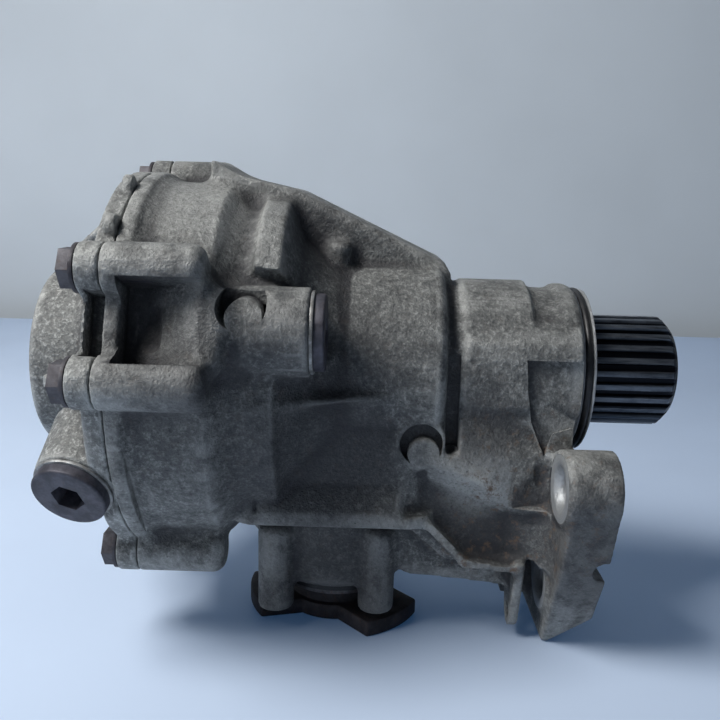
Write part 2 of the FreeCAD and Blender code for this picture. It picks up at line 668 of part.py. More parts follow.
def bearing(axis_point, direction, bore_r, cup_r, width, count):
    """A tapered roller bearing. The small end of its rollers is at axis_point."""
    depth = cup_r - bore_r
    r_small = bore_r + depth * 0.42
    r_large = bore_r + depth * 0.58
    roller_small = depth * 0.155
    roller_large = depth * 0.185
    slope = (r_large - r_small) / width
    inset = width * 0.14
    wire_in = [(0, bore_r), (0, r_small - roller_small - roller_gap + 0.3 * inset * slope),
               (width, r_large - roller_large - roller_gap - 0.2), (width, bore_r)]
    wire_out = [(0, cup_r), (0, r_small + roller_small + roller_gap - 0.1),
                (width, r_large + roller_large + roller_gap + 0.3), (width, cup_r)]
    rotation = FreeCAD.Rotation(V(1, 0, 0), direction)
    place = FreeCAD.Placement(axis_point, rotation)

    def turned(points):
        wire = Part.makePolygon([V(x, 0, r) for x, r in points + points[:1]])
        return Part.Face(wire).revolve(V(0, 0, 0), V(1, 0, 0), 360)

    cone = turned(wire_in)
    cup = turned(wire_out)
    start = V(inset, 0, r_small + slope * inset)
    end = V(width - inset, 0, r_large - slope * inset)
    run = end - start
    roller = Part.makeCone(roller_small, roller_large, run.Length, start, run)
    rollers = []
    pockets = []
    pocket = Part.makeCone(roller_small + 0.2, roller_large + 0.2, run.Length + 0.5,
                           start - run * (0.25 / run.Length), run)
    for i in range(count):
        one = roller.copy()
        one.rotate(V(0, 0, 0), V(1, 0, 0), 360.0 * i / count)
        rollers.append(one)
        hole = pocket.copy()
        hole.rotate(V(0, 0, 0), V(1, 0, 0), 360.0 * i / count)
        pockets.append(hole)
    sheet = 0.5
    cage = turned([(inset * 0.25, r_small - sheet), (inset * 0.25, r_small + sheet),
                   (width - inset * 0.4, r_large + sheet), (width - inset * 0.4, r_large - sheet)])
    cage = cage.cut(Part.makeCompound(pockets).Solids)
    group = [cone, cup, Part.makeCompound(rollers), cage]
    for shape in group:
        shape.Placement = place
    return group


# Gears

cone_distance = gear_module * math.hypot(ring_teeth, pinion_teeth) / 2
ring_angle = math.atan2(ring_teeth, pinion_teeth)
pinion_angle = math.pi / 2 - ring_angle
toe_share = (cone_distance - gear_face_w) / cone_distance


def bevel_tooth(share_out):
    """One straight bevel tooth about the X axis, its cone tip at the origin."""
    def section(angle, scale):
        ax, ar = -math.cos(angle), math.sin(angle)
        nx, nr = math.sin(angle), math.cos(angle)
        pitch = math.pi * gear_module
        half = pitch * gear_tooth_share / 2
        points = []
        for side, h in ((-1, -gear_dedendum - 0.25), (-1, gear_addendum), (1, gear_addendum),
                        (1, -gear_dedendum - 0.25)):
            rise = h * gear_module
            t = side * (half - math.tan(math.radians(20)) * rise)
            x = cone_distance * ax + rise * nx
            r = cone_distance * ar + rise * nr
            points.append(V(x * scale, t * scale, r * scale))
        return Part.makePolygon(points + points[:1])
    return Part.makeLoft([section(share_out, toe_share), section(share_out, 1.0)], True, True)


def gear_root(angle, scale):
    """The root point at one end of a tooth, as distance along the axis and radius."""
    drop = gear_dedendum * gear_module
    x = -cone_distance * math.cos(angle) - drop * math.sin(angle)
    r = cone_distance * math.sin(angle) - drop * math.cos(angle)
    return x * scale, r * scale


def ring_gear():
    heel_x, heel_r = gear_root(ring_angle, 1.0)
    toe_x, toe_r = gear_root(ring_angle, toe_share)
    back = carrier_x + carrier_t
    blank = turn_x([(back, hub_r + running), (back, heel_r + gear_backing),
                    (pinion_x + heel_x - 1.5, heel_r + gear_backing), (pinion_x + heel_x, heel_r),
                    (pinion_x + toe_x, toe_r), (pinion_x + toe_x - 2, hub_r + running)])
    tooth = bevel_tooth(ring_angle)
    tooth.translate(V(pinion_x, 0, 0))
    teeth = []
    for i in range(ring_teeth):
        one = tooth.copy()
        one.rotate(V(pinion_x, 0, 0), V(1, 0, 0), 180 + 360.0 * i / ring_teeth)
        teeth.append(one)
    solid = fuse_all(blank, teeth)
    holes = []
    for i in range(ring_bolt_count):
        p = at_angle(ring_bolt_circle_r, 360.0 * i / ring_bolt_count)
        holes.append(cyl_x(ring_bolt_r + tap_clearance, back - 1, back + ring_bolt_grip + 2, p.y, p.z))
    return solid.cut(holes)


def pinion_shaft():
    heel_x, heel_r = gear_root(pinion_angle, 1.0)
    toe_x, toe_r = gear_root(pinion_angle, toe_share)
    shaft = turn_z([(0, toe_x), (toe_r, toe_x), (heel_r, heel_x), (heel_r + 0.6, heel_x - 0.4),
                    (heel_r + 0.6, head_top_z), (pinion_shaft_r, head_top_z),
                    (pinion_shaft_r, tail_top_z - tail_bearing_w),
                    (thread_r + 2.6, tail_top_z - tail_bearing_w), (thread_r + 2.6, floor_z + flange_recess_h),
                    (thread_r, floor_z + flange_recess_h), (thread_r, floor_z + 1.6),
                    (thread_r - 1, floor_z + 0.8), (0, floor_z + 0.8)])
    tooth = bevel_tooth(pinion_angle)
    tooth.rotate(V(0, 0, 0), V(0, 1, 0), -90)
    tooth.translate(V(pinion_x, 0, 0))
    teeth = []
    for i in range(pinion_teeth):
        one = tooth.copy()
        one.rotate(V(pinion_x, 0, 0), V(0, 0, 1), 180 * (i * 2 + 1) / pinion_teeth)
        teeth.append(one)
    return fuse_all(shaft, teeth)


# Input shaft

def hollow_shaft():
    spline_x = shaft_right_x - spline_len
    tip_r = spline_module * (spline_teeth + 1.8) / 2
    root_r = tip_r - spline_depth
    left_end = left_bearing_x + axle_bearing_w
    body = turn_x([
        (shaft_left_x, shaft_bore_r), (shaft_left_x, shaft_r - 1), (shaft_left_x + 1, shaft_r),
        (left_end, shaft_r), (left_end, shaft_r + 4), (carrier_x, hub_r), (carrier_x, carrier_r),
        (carrier_x + carrier_t, carrier_r), (carrier_x + carrier_t, hub_r), (pinion_x - 18.5, hub_r),
        (pinion_x - 17, 23.5), (right_bearing_x, 23.5), (right_bearing_x, shaft_r),
        (spline_x, shaft_r), (spline_x, root_r), (shaft_right_x - spline_chamfer / 2, root_r),
        (shaft_right_x, root_r - 1.2), (shaft_right_x, shaft_bore_r)])
    teeth = []
    pitch = math.radians(360.0 / spline_teeth)
    for i in range(spline_teeth):
        points = []
        for r, share in ((root_r - 0.3, -0.33), (tip_r, -0.2), (tip_r, 0.2), (root_r - 0.3, 0.33)):
            a = pitch * share
            points.append(V(spline_x, r * math.sin(a), r * math.cos(a)))
        tooth = Part.Face(Part.makePolygon(points + points[:1])).extrude(V(spline_len, 0, 0))
        tooth.rotate(V(0, 0, 0), V(1, 0, 0), math.degrees(pitch * i))
        teeth.append(tooth)
    solid = fuse_all(body, teeth)
    trim = turn_x([(shaft_right_x - spline_chamfer, tip_r + 1), (shaft_right_x + 1, tip_r + 1),
                   (shaft_right_x + 1, tip_r - spline_chamfer - 0.4), (shaft_right_x, tip_r - spline_chamfer),
                   (shaft_right_x - spline_chamfer, tip_r + 0.02)])
    cuts = [trim]
    for i in range(ring_bolt_count):
        p = at_angle(ring_bolt_circle_r, 360.0 * i / ring_bolt_count)
        cuts.append(cyl_x(ring_bolt_r + 0.4, carrier_x - 1, carrier_x + carrier_t + 1, p.y, p.z))
    return solid.cut(cuts)


def ring_bolts():
    bolts = []
    for i in range(ring_bolt_count):
        p = at_angle(ring_bolt_circle_r, 360.0 * i / ring_bolt_count, carrier_x)
        shank = cyl_x(ring_bolt_r, carrier_x, carrier_x + carrier_t + ring_bolt_grip, p.y, p.z)
        head = hexagon(ring_bolt_af, ring_bolt_head_t, p, V(-1, 0, 0))
        bolts.append(shank.fuse(head).removeSplitter())
    return Part.makeCompound(bolts)


def breather():
    """The vent pressed into the back of the bell, with its cap."""
    stem = Part.makeCylinder(vent_r, vent_len + 8, V(vent_x, vent_y - 8, vent_z), V(0, 1, 0))
    cap = Part.makeCylinder(vent_r + 3, vent_len * 0.6, V(vent_x, vent_y + vent_len * 0.4, vent_z), V(0, 1, 0))
    cap = rounded(cap, 2, lambda e: e.CenterOfMass.y > vent_y + vent_len - 0.1)
    bore = Part.makeCylinder(vent_r * 0.4, vent_len, V(vent_x, vent_y - 9, vent_z), V(0, 1, 0))
    return fuse_all(stem, [cap]).cut(bore)


# Output flange

def output_flange():
    top = floor_z + flange_plate_t
    arms = []
    for angle in arm_angles:
        arm = block(0, arm_r + 5, -arm_w / 2, arm_w / 2, floor_z, top)
        arm.rotate(V(0, 0, 0), V(0, 0, 1), angle)
        arm.translate(V(pinion_x, 0, 0))
        arms.append(arm)
    plate = fuse_all(cyl_z(flange_boss_r + 2, floor_z, top), arms)
    plate = plate.common(cyl_z(arm_r, floor_z, top))
    hub_top = tail_top_z - tail_bearing_w
    hub = cyl_z(flange_hub_r, floor_z + 2, hub_top)
    boss = cyl_z(flange_boss_r, floor_z + 1, floor_z + flange_recess_h + 2)
    solid = fuse_all(plate, [hub, boss])
    cuts = [cyl_z(thread_r + 2.6 + running, floor_z, hub_top + 1)]
    cuts.append(cyl_z(flange_recess_r, floor_z - 1, floor_z + flange_recess_h))
    for angle in arm_angles:
        a = math.radians(angle)
        cuts.append(cyl_z(flange_bolt_r, floor_z - 1, top + 1,
                          pinion_x + flange_bolt_circle_r * math.cos(a), flange_bolt_circle_r * math.sin(a)))
    return solid.cut(cuts)


def flange_nut():
    seat_z = floor_z + flange_recess_h
    base = V(pinion_x, 0, seat_z - nut_washer_t)
    nut = hexagon(nut_af, nut_t, base, V(0, 0, -1))
    nut = nut.cut(cyl_z(thread_r + 0.05, floor_z - 2, floor_z + 12))
    washer = tube_z(thread_r + 0.2, flange_recess_r - 1, seat_z - nut_washer_t, seat_z)
    return nut, washer


# Write every piece

export("main_housing", build_housing())
export("side_cover", build_cover())
export("cover_bolts", cover_bolts())

pins = []
for pin_angle in dowel_angles:
    pin_at = at_angle(bolt_circle_r, pin_angle, joint_x - dowel_len / 2 + 0.2)
    pin = Part.makeCylinder(dowel_r, dowel_len - 0.4, pin_at, V(1, 0, 0))
    pins.append(pin.cut(Part.makeCylinder(dowel_bore_r, dowel_len, pin_at, V(1, 0, 0))))
export("cover_dowels", Part.makeCompound(pins))

fill_plug, fill_washer = oil_plug(*fill_axis())
export("fill_plug", fill_plug)
export("fill_plug_washer", fill_washer)
level_plug, level_washer = oil_plug(V(level_plug_x - plug_washer_t, level_plug_y, level_plug_z), V(1, 0, 0))
export("level_plug", level_plug)
export("level_plug_washer", level_washer)

ring_section_r = ring_groove_w / 2 - ring_clearance
spigot_ring = Part.makeTorus(ring_groove_r + ring_section_r + 0.02, ring_section_r,
                             V(ring_groove_x + ring_groove_w / 2, 0, 0), V(1, 0, 0))
export("spigot_ring_seal", spigot_ring)
export("gearbox_side_seal", lip_seal(-seal_w + 0.2, -0.4, seal_r, shaft_r + running))
export("axle_side_seal", lip_seal(cover_end_x + seal_w - 0.2, cover_end_x + 0.6, seal_r, shaft_r + running))

export("hollow_shaft", hollow_shaft())
export("ring_gear", ring_gear())
export("ring_gear_bolts", ring_bolts())
export("pinion_shaft", pinion_shaft())
export("output_flange", output_flange())
nut_solid, nut_washer = flange_nut()
export("flange_nut", nut_solid)
export("flange_washer", nut_washer)

hub_top_z = tail_top_z - tail_bearing_w
pinion_seal = turn_z([(flange_hub_r + running, hub_top_z - 3.6), (tail_cup_r - 1.2, hub_top_z - 3.6),
                      (tail_cup_r - 1.2, hub_top_z - pinion_seal_w), (tail_cup_r, hub_top_z - pinion_seal_w),
                      (tail_cup_r, hub_top_z - 0.4), (flange_hub_r + 1.6, hub_top_z - 0.4),
                      (flange_hub_r + running, hub_top_z - 2.8)])
export("pinion_seal", pinion_seal)
shield_z = floor_z + flange_recess_h + 2
export("dust_shield", turn_z([(flange_hub_r, shield_z), (shield_r, shield_z), (shield_r, shield_z + 2.2),
                              (shield_r - 0.8, shield_z + 2.2), (shield_r - 0.8, shield_z + 0.8),
                              (flange_hub_r, shield_z + 0.8)]))
spacer_top = head_top_z - head_bearing_w
export("bearing_spacer", tube_z(pinion_shaft_r, pinion_shaft_r + 2.5, tail_top_z, spacer_top))
export("left_bearing_shim", tube_x(axle_cup_r - 5, axle_cup_r, left_bearing_x - shim_t, left_bearing_x))
right_cup_end = right_bearing_x + axle_bearing_w
export("right_bearing_shim", tube_x(axle_cup_r - 5, axle_cup_r, right_cup_end, right_cup_end + shim_t))
export("pinion_shim", tube_z(head_cup_r - 4, head_cup_r, spacer_top - shim_t, spacer_top))
export("breather", breather())

bearing_sets = (
    ("left", V(left_bearing_x, 0, 0), V(1, 0, 0), shaft_r, axle_cup_r, axle_bearing_w, axle_rollers),
    ("right", V(right_bearing_x + axle_bearing_w, 0, 0), V(-1, 0, 0), shaft_r, axle_cup_r,
     axle_bearing_w, axle_rollers),
    ("head", V(pinion_x, 0, head_top_z - head_bearing_w), V(0, 0, 1), pinion_shaft_r, head_cup_r,
     head_bearing_w, pinion_rollers),
    ("tail", V(pinion_x, 0, tail_top_z), V(0, 0, -1), pinion_shaft_r, tail_cup_r,
     tail_bearing_w, pinion_rollers),
)
for label, place, direction, bore, cup, width, count in bearing_sets:
    pieces = bearing(place, direction, bore, cup, width, count)
    for part_name, piece in zip(("cone", "cup", "rollers", "cage"), pieces):
        export("%s_bearing_%s" % (label, part_name), piece)
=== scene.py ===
import math
import bpy
import numpy as np
from mathutils import Matrix, Vector
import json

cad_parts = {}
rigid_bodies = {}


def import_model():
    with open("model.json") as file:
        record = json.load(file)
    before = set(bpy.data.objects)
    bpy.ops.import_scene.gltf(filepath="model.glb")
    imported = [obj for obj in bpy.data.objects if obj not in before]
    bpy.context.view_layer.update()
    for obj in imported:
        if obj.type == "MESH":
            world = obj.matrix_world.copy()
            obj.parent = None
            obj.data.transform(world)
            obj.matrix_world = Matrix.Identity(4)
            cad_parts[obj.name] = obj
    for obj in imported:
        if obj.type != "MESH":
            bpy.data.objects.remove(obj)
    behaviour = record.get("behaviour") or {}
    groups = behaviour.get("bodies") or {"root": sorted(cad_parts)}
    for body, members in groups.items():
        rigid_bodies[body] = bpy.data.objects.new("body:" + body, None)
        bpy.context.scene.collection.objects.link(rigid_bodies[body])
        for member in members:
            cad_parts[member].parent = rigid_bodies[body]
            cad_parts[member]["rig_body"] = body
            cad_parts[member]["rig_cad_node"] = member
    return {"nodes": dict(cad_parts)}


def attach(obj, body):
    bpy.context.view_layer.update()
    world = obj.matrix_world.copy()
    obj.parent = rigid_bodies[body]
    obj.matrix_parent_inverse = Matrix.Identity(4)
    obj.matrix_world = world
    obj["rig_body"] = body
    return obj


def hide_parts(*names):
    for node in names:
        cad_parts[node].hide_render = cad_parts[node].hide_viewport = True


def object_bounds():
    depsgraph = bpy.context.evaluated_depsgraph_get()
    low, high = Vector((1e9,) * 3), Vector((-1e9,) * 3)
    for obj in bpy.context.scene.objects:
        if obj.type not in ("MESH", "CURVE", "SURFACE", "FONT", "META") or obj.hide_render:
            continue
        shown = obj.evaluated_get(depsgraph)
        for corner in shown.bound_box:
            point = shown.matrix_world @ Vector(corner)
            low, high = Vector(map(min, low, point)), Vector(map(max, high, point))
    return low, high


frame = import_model()
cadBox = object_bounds()
nodes = frame["nodes"]
mm = 0.001

# the camera stands where the photograph was taken, in millimetres and degrees
cameraView = {"place": (-75.444, -295.228, 63.551), "down": 12.0, "turn": 0.5, "roll": 1.5,
              "lens": 38.75, "film": 36, "nearest": 10}


def addCamera(view):
    down, turn, roll = (math.radians(view[k]) for k in ("down", "turn", "roll"))
    forward = Vector((-math.sin(turn) * math.cos(down), math.cos(turn) * math.cos(down), -math.sin(down)))
    level = forward.cross(Vector((0, 0, 1))).normalized()
    upright = level.cross(forward)
    right = level * math.cos(roll) + upright * math.sin(roll)
    up = upright * math.cos(roll) - level * math.sin(roll)
    bpy.ops.object.camera_add()
    camera = bpy.context.object
    camera.name = "photoCamera"
    camera.data.lens = view["lens"]
    camera.data.sensor_width = view["film"]
    camera.data.clip_start = view["nearest"] * mm
    turned = Matrix((right, up, -forward)).transposed().to_4x4()
    camera.matrix_world = Matrix.Translation(Vector(view["place"]) * mm) @ turned
    bpy.context.scene.camera = camera


addCamera(cameraView)
print("camera placed")


# shader maths: an expression on a socket adds its nodes
class Expr:
    def __init__(self, paint, socket):
        self.paint = paint
        self.socket = socket

    def math(self, operation, first, second):
        return self.paint.node("ShaderNodeMath", {"operation": operation}, {0: first, 1: second})

    def __add__(self, other): return self.math("ADD", self, other)
    def __radd__(self, other): return self.math("ADD", other, self)
    def __sub__(self, other): return self.math("SUBTRACT", self, other)
    def __rsub__(self, other): return self.math("SUBTRACT", other, self)
    def __mul__(self, other): return self.math("MULTIPLY", self, other)
    def __rmul__(self, other): return self.math("MULTIPLY", other, self)
    def __truediv__(self, other): return self.math("DIVIDE", self, other)
    def __pow__(self, other): return self.math("POWER", self, other)

    def higher(self, other): return self.math("MAXIMUM", self, other)

    def ramp(self, low, high):
        return self.paint.node("ShaderNodeMapRange", {"interpolation_type": "SMOOTHSTEP"},
                               {0: self, 1: low, 2: high})


class Paint:
    def __init__(self, name):
        self.material = bpy.data.materials.new(name)
        self.material.use_nodes = True
        self.tree = self.material.node_tree
        self.shader = self.tree.nodes["Principled BSDF"]
        self.place = self.node("ShaderNodeTexCoord", {}, {}, "Object")
        split = self.node("ShaderNodeSeparateXYZ", {}, {0: self.place}, "X")
        outs = split.socket.node.outputs
        self.x, self.y, self.z = (Expr(self, outs[k]) * 1000 for k in "XYZ")

    def node(self, kind, settings, values, out=0):
        made = self.tree.nodes.new(kind)
        for key, value in settings.items():
            setattr(made, key, value)
        for key, value in values.items():
            if isinstance(value, Expr):
                self.tree.links.new(value.socket, made.inputs[key])
            else:
                made.inputs[key].default_value = value
        return Expr(self, made.outputs[out])

    def noise(self, size, detail=4, rough=0.55, stretch=(1, 1, 1)):
        # size of the grain in millimetres
        where = self.node("ShaderNodeMapping", {}, {"Vector": self.place, "Scale": stretch})
        return self.node("ShaderNodeTexNoise", {}, {"Vector": where, "Scale": 1000 / size, "Detail": detail,
                                                    "Roughness": rough})

    def pits(self, size):
        return self.node("ShaderNodeTexVoronoi", {}, {"Vector": self.place, "Scale": 1000 / size})

    def fromAxis(self, y, z):
        # how far a point lies from an axis along X, in millimetres
        return (((self.y - y) ** 2) + ((self.z - z) ** 2)) ** 0.5

    def mix(self, factor, first, second):
        # the colour sockets of a Mix node are 6 and 7, and its colour comes out at 2
        made = self.tree.nodes.new("ShaderNodeMix")
        made.data_type = "RGBA"
        for key, value in ((0, factor), (6, first), (7, second)):
            if isinstance(value, Expr):
                self.tree.links.new(value.socket, made.inputs[key])
            elif key:
                made.inputs[key].default_value = (*value, 1)
            else:
                made.inputs[key].default_value = value
        return Expr(self, made.outputs[2])

    def blob(self, centre, reach):
        # 1 at the centre, in millimetres, fading to 0 at the reach
        x, y, z = centre
        away = (((self.x - x) ** 2) + ((self.y - y) ** 2) + ((self.z - z) ** 2)) ** 0.5
        return 1 - (away / reach).ramp(0.35, 1.0)

    def finish(self, colour, rough, metal, bumps):
        # bumps: (height, depth in millimetres)
        for key, value in (("Base Color", colour), ("Roughness", rough), ("Metallic", metal)):
            if isinstance(value, Expr):
                self.tree.links.new(value.socket, self.shader.inputs[key])
            else:
                self.shader.inputs[key].default_value = (*value, 1) if key == "Base Color" else value
        normal = None
        for height, depth in bumps:
            values = {"Height": height, "Distance": depth * mm, "Strength": 1.0}
            if normal:
                values["Normal"] = normal
            normal = self.node("ShaderNodeBump", {}, values)
        if normal:
            self.tree.links.new(normal.socket, self.shader.inputs["Normal"])
        return self.material


# weathered cast aluminium: its colours, the grain sizes and the joint's place in millimetres; the soot
# colour also paints shade
castLook = {"dark": (0.082, 0.086, 0.087), "mid": (0.182, 0.188, 0.184), "pale": (0.46, 0.47, 0.46),
            "sootAndShade": (0.022, 0.022, 0.027), "rust": (0.135, 0.092, 0.065), "bare": (0.46, 0.48, 0.50),
            "patchSize": 38, "cloudSize": 9, "grainSize": 1.9, "fineSize": 0.8, "pitSize": 3.2,
            "rustSize": 4, "beadSize": 5, "jointX": -155.5, "rough": 0.56, "metal": 0.12}
castBumps = {"clouds": 0.2, "grain": 0.62, "fine": 0.26, "pits": 0.08}
# where painted shade darkens the casting's shaded parts, where painted highlights pale it where light falls
# full,
# and where it has rusted: centre in millimetres, reach and share
# painted shade: darker patches where the casting lies in shade
paintedShade = [((-92, -38, -28), 46, 0.65), ((3, -58, -55), 42, 0.62), ((-137, -66, 20), 30, 0.45),
         ((-122, -62, -12), 40, 0.35), ((-100, -64, 20), 22, 0.35), ((-86, -20, -80), 42, 0.65),
         ((-99, -12, 46), 26, 0.55), ((-81, -38, 8), 26, 0.4), ((-33, -33, -14), 20, 0.5),
         ((-28, -33, -58), 14, 0.5), ((-128, -72, 36), 10, 0.35), ((-126, -76, 6), 10, 0.35)]
# painted highlights: paler patches where light falls full on the side sweep and the top
paintedHighlights = [((-38, -40, -38), 18, 0.55), ((-128, -30, 64), 34, 0.35), ((-40, -38, -30), 26, 0.2)]
rusted = [((-16, -38, -38), 42, 0.8), ((-30, -36, -62), 30, 0.5)]
# seats that a cutter left bare: a point on the axis along X, the radius, and from where to where
bareSeats = {"footUpper": {"y": -46.5, "z": -32.0, "radius": 11.6, "from": -10.2, "to": 11},
             "footLower": {"y": -26.5, "z": -74.5, "radius": 11.6, "from": -10.2, "to": 11},
             "spigot": {"y": 0, "z": 0, "radius": 33.5, "from": 0.3, "to": 8}}


def castAluminium(name, look, lift=0.0, speckle=0.5, seats=()):
    paint = Paint(name)
    patches = paint.noise(look["patchSize"], 5, 0.6)
    clouds = paint.noise(look["cloudSize"], 6, 0.65)
    grain = paint.noise(look["grainSize"], 4, 0.7)
    fine = paint.noise(look["fineSize"], 3, 0.6)
    hollow = paint.node("ShaderNodeAttribute", {"attribute_name": "hollow"}, {}, "Fac")
    tone = (patches * 0.25 + clouds * 0.45 + grain * 0.3 + lift).ramp(0.36, 0.64)
    colour = paint.mix(tone, look["dark"], look["mid"])
    # painted highlights: the casting is painted paler where light falls full on it
    for centre, reach, share in paintedHighlights:
        colour = paint.mix(paint.blob(centre, reach) * share, colour, look["pale"])
    speckZone = clouds.ramp(0.3, 0.6) * 0.6 + 0.4
    specks = (grain * 0.6 + fine * 0.4).ramp(0.49, 0.64) * speckZone * speckle
    colour = paint.mix(specks, colour, look["pale"])
    shade = (1 - (grain * 0.5 + fine * 0.5).ramp(0.34, 0.5)) * 0.55
    colour = paint.mix(shade, colour, look["sootAndShade"])
    wear = (hollow - 0.5).ramp(0.10, 0.40) * (clouds.ramp(0.35, 0.6) * 0.45 + 0.05)
    colour = paint.mix(wear, colour, look["pale"])
    # darker in hollows: soot, and painted shade where the hollows lie in shade
    sootAndShade = (0.5 - hollow).ramp(0.02, 0.32) * (clouds.ramp(0.25, 0.6) * 0.5 + 0.5)
    colour = paint.mix(sootAndShade * 0.85, colour, look["sootAndShade"])
    # painted shade: the casting is painted darker where it lies in shade
    for centre, reach, share in paintedShade:
        colour = paint.mix(paint.blob(centre, reach) * share, colour, look["sootAndShade"])
    rustZone = 0.12
    for centre, reach, share in rusted:
        rustZone = paint.blob(centre, reach) * share + rustZone
    rust = paint.noise(look["rustSize"], 6, 0.75).ramp(0.52, 0.68) * rustZone
    colour = paint.mix(rust, colour, look["rust"])
    holes = paint.pits(look["pitSize"]).ramp(0.0, 0.14)
    colour = paint.mix((1 - holes) * clouds.ramp(0.5, 0.6) * 0.8, colour, look["sootAndShade"])
    fromJoint = ((paint.x - look["jointX"]) ** 2) ** 0.5
    bead = (1 - fromJoint.ramp(0.5, 1.1)) * paint.noise(look["beadSize"], 4, 0.7).ramp(0.42, 0.6)
    colour = paint.mix(bead * 0.5, colour, look["pale"])
    bare = 0.0
    for seat in seats:
        radius = paint.fromAxis(seat["y"], seat["z"])
        rings = paint.node("ShaderNodeTexNoise", {"noise_dimensions": "1D"},
                           {"W": radius * 2.6, "Scale": 1.0, "Detail": 3.0})
        turned = 1 - radius.ramp(seat["radius"] - 0.2, seat["radius"] + 0.3)
        turned = turned * paint.x.ramp(seat["from"] - 0.2, seat["from"] + 0.2)
        turned = turned * (1 - paint.x.ramp(seat["to"] - 0.2, seat["to"] + 0.2))
        colour = paint.mix(turned * (rings * 0.4 + 0.45), colour, look["bare"])
        bare = turned + bare
    rough = look["rough"] - wear * 0.16 + grain * 0.14 - bare * 0.12
    metal = look["metal"] + wear * 0.3 + bare * 0.35
    bumps = [(clouds, castBumps["clouds"]), (grain * (1 - bare * 0.8), castBumps["grain"]),
             (fine, castBumps["fine"]), (holes, castBumps["pits"])]
    return paint.finish(colour, rough.higher(0.2), metal, bumps)


# steel finishes: their colours, how much has rusted, roughness, and how deep the surface is dented
steelLooks = {
    "boltSteel": {"base": (0.080, 0.078, 0.090), "stain": (0.036, 0.034, 0.042),
                  "rust": (0.085, 0.062, 0.056), "rustShare": 0.4, "rough": 0.52,
                  "metal": 0.45, "dent": 0.10},
    "plugSteel": {"base": (0.085, 0.084, 0.105), "stain": (0.038, 0.038, 0.05),
                  "rust": (0.10, 0.072, 0.068), "rustShare": 0.32, "rough": 0.5,
                  "metal": 0.4, "dent": 0.07},
    "flangeIron": {"base": (0.045, 0.040, 0.046), "stain": (0.02, 0.018, 0.022),
                   "rust": (0.075, 0.045, 0.034), "rustShare": 0.4, "rough": 0.6,
                   "metal": 0.35, "dent": 0.16},
    "gearSteel": {"base": (0.42, 0.42, 0.43), "stain": (0.22, 0.22, 0.23), "rust": (0.2, 0.14, 0.1),
                  "rustShare": 0.1, "rough": 0.3, "metal": 0.95, "dent": 0.02},
    "bearingSteel": {"base": (0.58, 0.58, 0.60), "stain": (0.36, 0.36, 0.37), "rust": (0.2, 0.15, 0.1),
                     "rustShare": 0.05, "rough": 0.2, "metal": 1.0, "dent": 0.01},
    "cageSteel": {"base": (0.40, 0.38, 0.34), "stain": (0.25, 0.23, 0.2), "rust": (0.2, 0.15, 0.1),
                  "rustShare": 0.1, "rough": 0.36, "metal": 0.9, "dent": 0.02},
    "shieldSteel": {"base": (0.16, 0.155, 0.16), "stain": (0.07, 0.065, 0.07), "rust": (0.13, 0.08, 0.06),
                    "rustShare": 0.4, "rough": 0.5, "metal": 0.6, "dent": 0.05},
    "washerAluminium": {"base": (0.36, 0.37, 0.37), "stain": (0.16, 0.155, 0.15), "rust": (0.14, 0.1, 0.08),
                        "rustShare": 0.3, "rough": 0.45, "metal": 0.6, "dent": 0.04},
}


def rustySteel(name, look):
    paint = Paint(name)
    clouds = paint.noise(4.5, 6, 0.65)
    grain = paint.noise(0.7, 4, 0.6)
    colour = paint.mix(clouds.ramp(0.36, 0.66), look["stain"], look["base"])
    edge = 0.78 - look["rustShare"] * 0.4
    rust = (paint.noise(2.4, 6, 0.7) * 0.7 + grain * 0.3).ramp(edge - 0.12, edge + 0.1)
    colour = paint.mix(rust, colour, look["rust"])
    rough = look["rough"] + rust * 0.2 + grain * 0.1
    metal = look["metal"] - rust * look["metal"] * 0.7
    return paint.finish(colour, rough, metal, [(clouds, look["dent"] * 1.4), (grain, look["dent"] * 0.6)])


# the spline: oiled dark steel, bright where the lands have rubbed
splineLook = {"land": (0.15, 0.17, 0.20), "flank": (0.012, 0.014, 0.02), "barrel": (0.09, 0.095, 0.11),
              "tip": 20.2, "spread": 0.55, "start": 7}
rubberDust = (0.12, 0.115, 0.11)


def splineSteel(name, look):
    paint = Paint(name)
    onLand = paint.fromAxis(0, 0).ramp(look["tip"] - look["spread"], look["tip"] + look["spread"] * 0.4)
    inSpline = paint.x.ramp(look["start"] - 0.5, look["start"] + 0.5)
    streaks = paint.noise(0.9, 4, 0.6, (0.08, 1, 1))
    clouds = paint.noise(6, 5, 0.6)
    colour = paint.mix(onLand * (streaks.ramp(0.25, 0.6) * 0.7 + 0.3), look["flank"], look["land"])
    colour = paint.mix(inSpline, look["barrel"], colour)
    colour = paint.mix(clouds.ramp(0.5, 0.75) * 0.5, colour, look["flank"])
    return paint.finish(colour, 0.30 + streaks * 0.18, 0.85, [(streaks, 0.02), (clouds, 0.03)])


def darkRubber(name, tone):
    paint = Paint(name)
    dust = paint.noise(3, 5, 0.7).ramp(0.5, 0.8)
    colour = paint.mix(dust * 0.35, tone, rubberDust)
    return paint.finish(colour, 0.45 + dust * 0.3, 0.0, [(paint.noise(0.8), 0.03)])


finishes = {name: rustySteel(name, look) for name, look in steelLooks.items()}
finishes["housingCast"] = castAluminium("housingCast", castLook, seats=bareSeats.values())
finishes["coverCast"] = castAluminium("coverCast", castLook, 0.04, 0.95)
finishes["splineSteel"] = splineSteel("splineSteel", splineLook)
finishes["blackRubber"] = darkRubber("blackRubber", (0.012, 0.012, 0.014))
finishes["ventPlastic"] = darkRubber("ventPlastic", (0.02, 0.02, 0.022))
print("finishes made:", len(finishes))


# modelling helpers: points closer than this many metres are joined up
joinedUp = 0.000002


def activate(piece):
    if bpy.context.object and bpy.context.object.mode != "OBJECT":
        bpy.ops.object.mode_set(mode="OBJECT")
    bpy.ops.object.select_all(action="DESELECT")
    piece.select_set(True)
    bpy.context.view_layer.objects.active = piece


